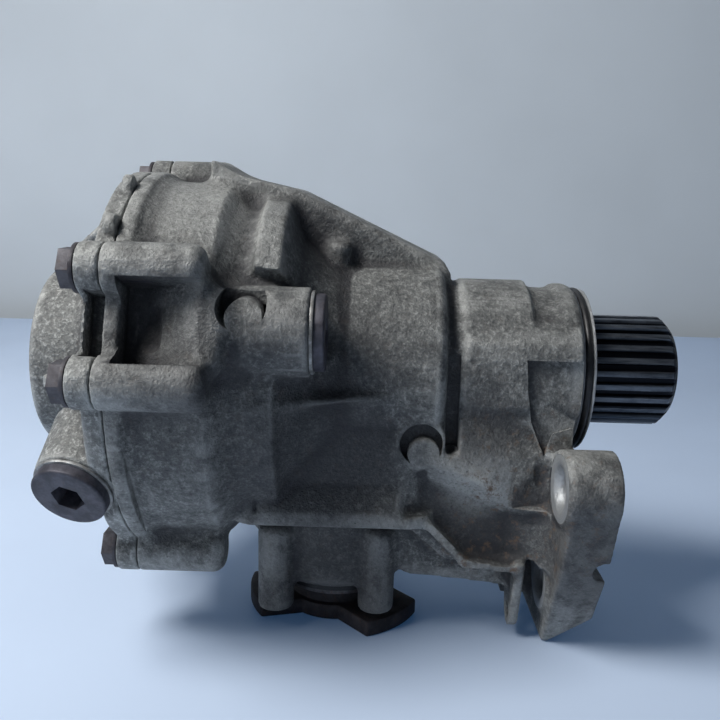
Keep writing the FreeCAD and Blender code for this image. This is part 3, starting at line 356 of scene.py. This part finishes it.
def applyModifier(piece, kind, **settings):
    activate(piece)
    made = piece.modifiers.new(kind.lower(), kind)
    for key, value in settings.items():
        setattr(made, key, value)
    bpy.ops.object.modifier_apply(modifier=made.name)


def joinInto(piece, others):
    activate(piece)
    for other in others:
        other.select_set(True)
    bpy.ops.object.join()
    return piece


def looseCopy(nodeName, newName):
    # a copy of a CAD node with its triangles joined up
    source = nodes[nodeName]
    piece = source.copy()
    piece.data = source.data.copy()
    piece.name = newName
    piece.parent = None
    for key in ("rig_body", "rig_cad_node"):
        if key in piece:
            del piece[key]
    bpy.context.scene.collection.objects.link(piece)
    activate(piece)
    bpy.ops.object.mode_set(mode="EDIT")
    bpy.ops.mesh.select_all(action="SELECT")
    bpy.ops.mesh.remove_doubles(threshold=joinedUp)
    bpy.ops.object.mode_set(mode="OBJECT")
    return piece


def drawnLoop(points, y):
    # a loop of (x, z) points at one y, in millimetres, drawn by extruding a vertex; stays in edit mode
    bpy.ops.object.select_all(action="DESELECT")
    bpy.ops.mesh.primitive_plane_add(size=mm)
    piece = bpy.context.object
    bpy.ops.object.mode_set(mode="EDIT")
    bpy.ops.mesh.merge(type="CENTER")
    bpy.ops.transform.translate(value=(points[0][0] * mm, y * mm, points[0][1] * mm))
    for (x0, z0), (x1, z1) in zip(points, points[1:] + points[:1]):
        bpy.ops.mesh.extrude_region_move(
            TRANSFORM_OT_translate={"value": ((x1 - x0) * mm, 0, (z1 - z0) * mm)})
    bpy.ops.mesh.select_all(action="SELECT")
    bpy.ops.mesh.remove_doubles(threshold=joinedUp / 2)
    return piece


def setFinish(piece, finish, angle):
    piece.data.materials.clear()
    piece.data.materials.append(finishes[finish])
    activate(piece)
    bpy.ops.object.shade_smooth_by_angle(angle=math.radians(angle))


def seat(piece, body, slot, replaced):
    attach(piece, body)
    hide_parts(replaced)


# smoothing rounds, and the depth in millimetres that counts in full
hollows = {"rounds": 30, "reach": 1.6}


def markHollows(piece):
    # how far each point lies in a hollow (under 0.5) or stands proud (over 0.5)
    mesh = piece.data
    count = len(mesh.vertices)
    points = np.empty(count * 3)
    mesh.vertices.foreach_get("co", points)
    points = points.reshape(-1, 3)
    normals = np.empty(count * 3)
    mesh.vertex_normals.foreach_get("vector", normals)
    normals = normals.reshape(-1, 3)
    ends = np.empty(len(mesh.edges) * 2, int)
    mesh.edges.foreach_get("vertices", ends)
    ends = ends.reshape(-1, 2)
    degree = np.bincount(ends.ravel(), minlength=count)[:, None]
    smooth = points.copy()
    for _ in range(hollows["rounds"]):
        total = np.zeros_like(smooth)
        for axis in range(3):
            total[:, axis] = (np.bincount(ends[:, 0], smooth[ends[:, 1], axis], count)
                              + np.bincount(ends[:, 1], smooth[ends[:, 0], axis], count))
        smooth = total / np.maximum(degree, 1)
    proud = ((points - smooth) * normals).sum(1) / (hollows["reach"] * mm)
    made = mesh.attributes.new("hollow", "FLOAT", "POINT")
    made.data.foreach_set("value", np.clip(0.5 + proud * 0.5, 0, 1).astype(np.float32))


# cutters for what stays crisp in a casting, in millimetres
cutterSides = {"round": 64, "turned": 96}


def roundCutter(x, y, z, radius, length, along=(1, 0, 0), farRadius=None):
    axis = Vector(along)
    bpy.ops.object.select_all(action="DESELECT")
    endRadius = radius if farRadius is None else farRadius
    bpy.ops.mesh.primitive_cone_add(vertices=cutterSides["round"], radius1=radius * mm,
                                    radius2=endRadius * mm, depth=length * mm)
    cutter = bpy.context.object
    turn = Vector((0, 0, 1)).rotation_difference(axis).to_matrix().to_4x4()
    middle = (Vector((x, y, z)) + axis * length / 2) * mm
    cutter.data.transform(Matrix.Translation(middle) @ turn)
    return cutter


def blockCutter(low, high):
    bpy.ops.object.select_all(action="DESELECT")
    bpy.ops.mesh.primitive_cube_add(size=mm)
    cutter = bpy.context.object
    size = Vector(high) - Vector(low)
    middle = (Vector(high) + Vector(low)) / 2 * mm
    cutter.data.transform(Matrix.Translation(middle) @ Matrix.Diagonal((*size, 1)))
    return cutter


def sectorBlock(angle, halfWidth, x0, x1, r0, r1):
    # a block round the axle, its middle at an angle from the top towards the viewer
    piece = blockCutter((x0, -halfWidth, r0), (x1, halfWidth, r1))
    piece.data.transform(Matrix.Rotation(math.radians(angle), 4, "X"))
    return piece


def turnedCutter(profile):
    # a profile of (x, radius) points, turned round the axle
    cutter = drawnLoop(profile, 0)
    bpy.ops.mesh.spin(steps=cutterSides["turned"], angle=math.tau, center=(0, 0, 0), axis=(1, 0, 0))
    bpy.ops.mesh.select_all(action="SELECT")
    bpy.ops.mesh.remove_doubles(threshold=joinedUp)
    bpy.ops.mesh.normals_make_consistent(inside=False)
    bpy.ops.object.mode_set(mode="OBJECT")
    return cutter


def outlineCutter(points, fromY, toY):
    # an outline of (x, z) points, filled and extruded along Y
    cutter = drawnLoop(points, fromY)
    bpy.ops.mesh.edge_face_add()
    bpy.ops.mesh.extrude_region_move(TRANSFORM_OT_translate={"value": (0, (toY - fromY) * mm, 0)})
    bpy.ops.mesh.select_all(action="SELECT")
    bpy.ops.mesh.normals_make_consistent(inside=False)
    bpy.ops.object.mode_set(mode="OBJECT")
    return cutter


def cutOut(piece, cutter):
    before = len(piece.data.vertices)
    applyModifier(piece, "BOOLEAN", operation="DIFFERENCE", solver="MANIFOLD", object=cutter)
    if len(piece.data.vertices) == before:
        print("nothing cut from", piece.name)
    bpy.data.objects.remove(cutter, do_unlink=True)


crescentLook = {"depth": 20, "past": 2, "aside": 0.8, "drop": 0.42, "inner": 0.74}


def crescentCutter(x, y, z, radius):
    # the half-moon above a boss, cut back to y
    depth, past = crescentLook["depth"], crescentLook["past"]
    disc = roundCutter(x, y - depth, z, radius, depth, (0, 1, 0))
    cutOut(disc, roundCutter(x + crescentLook["aside"], y - depth - past, z - radius * crescentLook["drop"],
                             radius * crescentLook["inner"], depth + 2 * past, (0, 1, 0)))
    return disc


# the castings: softened where forms meet, as a mould leaves them, and most round the bell
castSizes = {"coarse": 1.4, "fine": 0.95, "softening": 5, "rounding": 2, "most": 180000,
             "bellGrain": 2.3, "bellSoftening": 11, "bellEnd": -114, "smoothAngle": 50}


def softened(nodeName, newName, grain, rounds, extras=()):
    piece = joinInto(looseCopy(nodeName, newName), extras)
    applyModifier(piece, "REMESH", mode="VOXEL", voxel_size=grain * mm)
    applyModifier(piece, "SMOOTH", factor=0.5, iterations=rounds)
    return piece


def castShape(nodeName, newName, sizes, lateCuts, extras=(), moreSoft=False, earlyCuts=()):
    soft = [softened(nodeName, newName + "Soft", sizes["coarse"], sizes["softening"])]
    if moreSoft:
        bell = softened(nodeName, newName + "Bell", sizes["bellGrain"], sizes["bellSoftening"], extras)
        activate(bell)
        bpy.ops.object.mode_set(mode="EDIT")
        bpy.ops.mesh.select_all(action="SELECT")
        bpy.ops.mesh.bisect(plane_co=(sizes["bellEnd"] * mm, 0, 0), plane_no=(1, 0, 0), use_fill=True,
                            clear_outer=True)
        bpy.ops.object.mode_set(mode="OBJECT")
        soft.append(bell)
    crisp = looseCopy(nodeName, newName)
    joinInto(crisp, soft)
    applyModifier(crisp, "REMESH", mode="VOXEL", voxel_size=sizes["fine"] * mm)
    for cutter in earlyCuts:
        cutOut(crisp, cutter)
    applyModifier(crisp, "SMOOTH", factor=0.5, iterations=sizes["rounding"])
    for cutter in lateCuts:
        cutOut(crisp, cutter)
    triangles = sum(len(p.vertices) - 2 for p in crisp.data.polygons)
    if triangles > sizes["most"]:
        applyModifier(crisp, "DECIMATE", ratio=sizes["most"] / triangles)
    return crisp


# what the cutters take out of the housing: crescents as x, y, z and radius, foot holes as y and z,
# outlines as (x, z) points, but the sweep as (x, y), and rim pockets as angle, half width and
# (x, radius); the cheek is a sector block that is added before the softening
housingCuts = {"crescents": [(-114, -54, 29.5, 7.5), (-55.5, -33.8, -21, 7.5)],
               "footHoles": [(-46.5, -32.0), (-26.5, -74.5)], "footHoleRadius": 6.0, "footHoleRim": 2.9,
               "footHoleDepth": 24, "footSeatX": -9.1, "footSeatRadius": 11.9, "footSeatDepth": 6,
               "earHole": (-27, -87.5, 3.0), "earHoleX": -21, "earHoleDepth": 6,
               "sweep": [(-36, -39.5), (-24, -35.6), (-12, -34.2), (-9.1, -35.2), (-9.1, -62), (-36, -62)],
               "sweepTop": -15, "sweepEnd": -44,
               "groove": {"low": (-47.2, -60, -22.5), "high": (-42.5, -30.3, 10)},
               "pad": [(-20, 9.3), (0, 9.3), (0, -14), (-9.1, -17), (-12, -25), (-17, -13), (-19, -2.5)],
               "padY": -31.7, "outsideY": -60, "ringGroove": (1.2, 4.2, 28.4, 33),
               "rimPockets": [(70, 13, [(-150.3, 62), (-144, 62.5), (-124, 73.5), (-124, 90),
                                        (-150.3, 90)]),
                              (121, 22, [(-150.3, 66), (-130, 68.5), (-130, 90), (-150.3, 90)])],
               "cheek": (70, 13, -136, -119, 56, 72)}


def seatSweep(cuts):
    # where the side runs out to the foot's upper seat: the outline is turned from (x, z) to (x, y)
    cutter = outlineCutter([(x, -y) for x, y in cuts["sweep"]], cuts["sweepEnd"], cuts["sweepTop"])
    cutter.data.transform(Matrix.Rotation(math.radians(90), 4, "X"))
    return cutter


def housingCutters(cuts):
    cutters = [crescentCutter(*crescent) for crescent in cuts["crescents"]]
    seatX, seatDepth = cuts["footSeatX"], cuts["footSeatDepth"]
    radius, rim = cuts["footHoleRadius"], cuts["footHoleRim"]
    for y, z in cuts["footHoles"]:
        cutters.append(roundCutter(seatX - seatDepth, y, z, cuts["footSeatRadius"], seatDepth))
        cutters.append(roundCutter(seatX - 3, y, z, radius, cuts["footHoleDepth"]))
        cutters.append(roundCutter(seatX - 0.3, y, z, radius + rim, rim, (1, 0, 0), radius))
    y, z, radius = cuts["earHole"]
    cutters.append(roundCutter(cuts["earHoleX"], y, z, radius, cuts["earHoleDepth"]))
    groove = cuts["groove"]
    cutters.append(blockCutter(groove["low"], groove["high"]))
    cutters.append(outlineCutter(cuts["pad"], cuts["outsideY"], cuts["padY"]))
    for angle, halfWidth, outline in cuts["rimPockets"]:
        pocket = outlineCutter(outline, -halfWidth, halfWidth)
        pocket.data.transform(Matrix.Rotation(math.radians(angle), 4, "X"))
        cutters.append(pocket)
    x0, x1, r0, r1 = cuts["ringGroove"]
    cutters.append(turnedCutter([(x0, r0), (x0, r1), (x1, r1), (x1, r0)]))
    return cutters


housing = castShape("main_housing", "housingCasting", castSizes, housingCutters(housingCuts),
                    [sectorBlock(*housingCuts["cheek"])], True, [seatSweep(housingCuts)])
markHollows(housing)
setFinish(housing, "housingCast", castSizes["smoothAngle"])
seat(housing, "case", "cast_aluminium", "main_housing")
print("housing casting:", len(housing.data.polygons), "faces")

# the cover's window as a sector block: angle, half width, x from and to, radius from and to
coverWindow = (70.5, 10, -160.6, -150, 63, 82)
cover = castShape("side_cover", "coverCasting", castSizes, [sectorBlock(*coverWindow)])
markHollows(cover)
setFinish(cover, "coverCast", castSizes["smoothAngle"])
seat(cover, "case", "cover_aluminium", "side_cover")
print("cover casting:", len(cover.data.polygons), "faces")


# fasteners, plugs, shaft and flange: the CAD's own forms with their edges broken
edgeBreaks = {
    "flangeBolts": {"node": "cover_bolts", "width": 0.45, "finish": "boltSteel", "slot": "bolt_steel",
                    "body": "case"},
    "fillPlug": {"node": "fill_plug", "width": 0.35, "finish": "plugSteel", "slot": "plug_steel",
                 "body": "case"},
    "levelPlug": {"node": "level_plug", "width": 0.35, "finish": "plugSteel", "slot": "plug_steel",
                  "body": "case"},
    "fillPlugWasher": {"node": "fill_plug_washer", "width": 0.3, "finish": "washerAluminium",
                       "slot": "washer_aluminium", "body": "case"},
    "levelPlugWasher": {"node": "level_plug_washer", "width": 0.3, "finish": "washerAluminium",
                        "slot": "washer_aluminium", "body": "case"},
    "inputShaft": {"node": "hollow_shaft", "width": 0.22, "finish": "splineSteel", "slot": "spline_steel",
                   "body": "input_shaft"},
    "outputFlange": {"node": "output_flange", "width": 0.8, "finish": "flangeIron", "slot": "flange_iron",
                     "body": "pinion"},
    "dustShield": {"node": "dust_shield", "width": 0.25, "finish": "shieldSteel", "slot": "shield_steel",
                   "body": "pinion"},
}


edgeAngle = 32  # edges sharper than this many degrees are broken


def breakEdges(name, look):
    piece = looseCopy(look["node"], name)
    applyModifier(piece, "BEVEL", width=look["width"] * mm, segments=2, limit_method="ANGLE",
                  angle_limit=math.radians(edgeAngle), use_clamp_overlap=True)
    setFinish(piece, look["finish"], edgeAngle)
    seat(piece, look["body"], look["slot"], look["node"])


for name, look in edgeBreaks.items():
    breakEdges(name, look)
print("edges broken:", len(edgeBreaks), "pieces")


# CAD nodes that keep their shape get their finish
nodeFinish = {
    "ring_gear_bolts": "boltSteel", "flange_nut": "boltSteel", "flange_washer": "boltSteel",
    "cover_dowels": "gearSteel", "spigot_ring_seal": "blackRubber", "gearbox_side_seal": "blackRubber",
    "axle_side_seal": "blackRubber", "pinion_seal": "blackRubber", "ring_gear": "gearSteel",
    "pinion_shaft": "gearSteel", "left_bearing_shim": "bearingSteel", "right_bearing_shim": "bearingSteel",
    "pinion_shim": "bearingSteel", "bearing_spacer": "bearingSteel", "breather": "ventPlastic",
}
for label in ("left", "right", "head", "tail"):
    for piece in ("cone", "cup", "rollers"):
        nodeFinish["%s_bearing_%s" % (label, piece)] = "bearingSteel"
    nodeFinish["%s_bearing_cage" % label] = "cageSteel"
for name, finish in nodeFinish.items():
    node = nodes[name]
    node.data.materials.clear()
    node.data.materials.append(finishes[finish])


# table, wall and lamps
roomLook = {"table": (0.62, 0.73, 0.90), "tableGlow": (0.0, 0.015, 0.045), "wall": (0.60, 0.65, 0.70),
            "wallGlow": (0.05, 0.06, 0.07), "tableEnd": 660, "wallGap": 40, "width": 3000,
            "world": (0.66, 0.80, 1.0), "worldStrength": 0.07}


def plainSurface(name, tone, glow, rough):
    # a plain surface, with a faint glow that only the camera and reflections see
    paint = Paint(name)
    veil = paint.noise(220, 3, 0.5).ramp(0.3, 0.7)
    darker = tuple(c * 0.93 for c in tone)
    rays = [paint.node("ShaderNodeLightPath", {}, {}, "Is %s Ray" % kind)
            for kind in ("Camera", "Glossy", "Transmission")]
    seen = rays[0].higher(rays[1]).higher(rays[2])
    paint.tree.links.new(paint.mix(seen, (0, 0, 0), glow).socket, paint.shader.inputs["Emission Color"])
    paint.shader.inputs["Emission Strength"].default_value = 1.0
    return paint.finish(paint.mix(veil, tone, darker), rough, 0.0, [])


def addRoom(look):
    floorZ = cadBox[0].z
    size = look["width"] * mm
    tableY = (look["tableEnd"] - look["width"] / 2) * mm
    bpy.ops.mesh.primitive_plane_add(size=size, location=(0, tableY, floorZ))
    table = bpy.context.object
    table.name = "tableTop"
    table.data.materials.append(plainSurface("tableFinish", look["table"], look["tableGlow"], 0.45))
    wallY = (look["tableEnd"] + look["wallGap"]) * mm
    bpy.ops.mesh.primitive_plane_add(size=size, location=(0, wallY, floorZ),
                                     rotation=(math.radians(90), 0, 0))
    wall = bpy.context.object
    wall.name = "wallBehind"
    wall.data.materials.append(plainSurface("wallFinish", look["wall"], look["wallGlow"], 0.8))


lamps = {
    "key": {"place": (-640, -265, 715), "aim": (-80, 0, 0), "size": 380, "power": 10.5,
            "tone": (1, 0.985, 0.96)},
    "leftSide": {"place": (-880, -420, 60), "aim": (-40, 0, -30), "size": 500, "power": 0.9,
                 "tone": (0.92, 0.96, 1)},
    "front": {"place": (100, -1000, 200), "aim": (-80, 0, -20), "size": 900, "power": 0.12,
              "tone": (0.82, 0.9, 1)},
}


def addLamps(look):
    for name, lamp in lamps.items():
        place = Vector(lamp["place"]) * mm
        bpy.ops.object.light_add(type="AREA", location=place)
        made = bpy.context.object
        made.name = name
        made.data.size = lamp["size"] * mm
        made.data.energy = lamp["power"]
        made.data.color = lamp["tone"]
        made.rotation_euler = (Vector(lamp["aim"]) * mm - place).to_track_quat("-Z", "Y").to_euler()
    world = bpy.data.worlds.new("roomLight")
    world.use_nodes = True
    background = world.node_tree.nodes["Background"]
    background.inputs["Color"].default_value = (*look["world"], 1)
    background.inputs["Strength"].default_value = look["worldStrength"]
    bpy.context.scene.world = world


addRoom(roomLook)
addLamps(roomLook)
bpy.context.scene.view_settings.view_transform = "Standard"
print("room and lamps set")
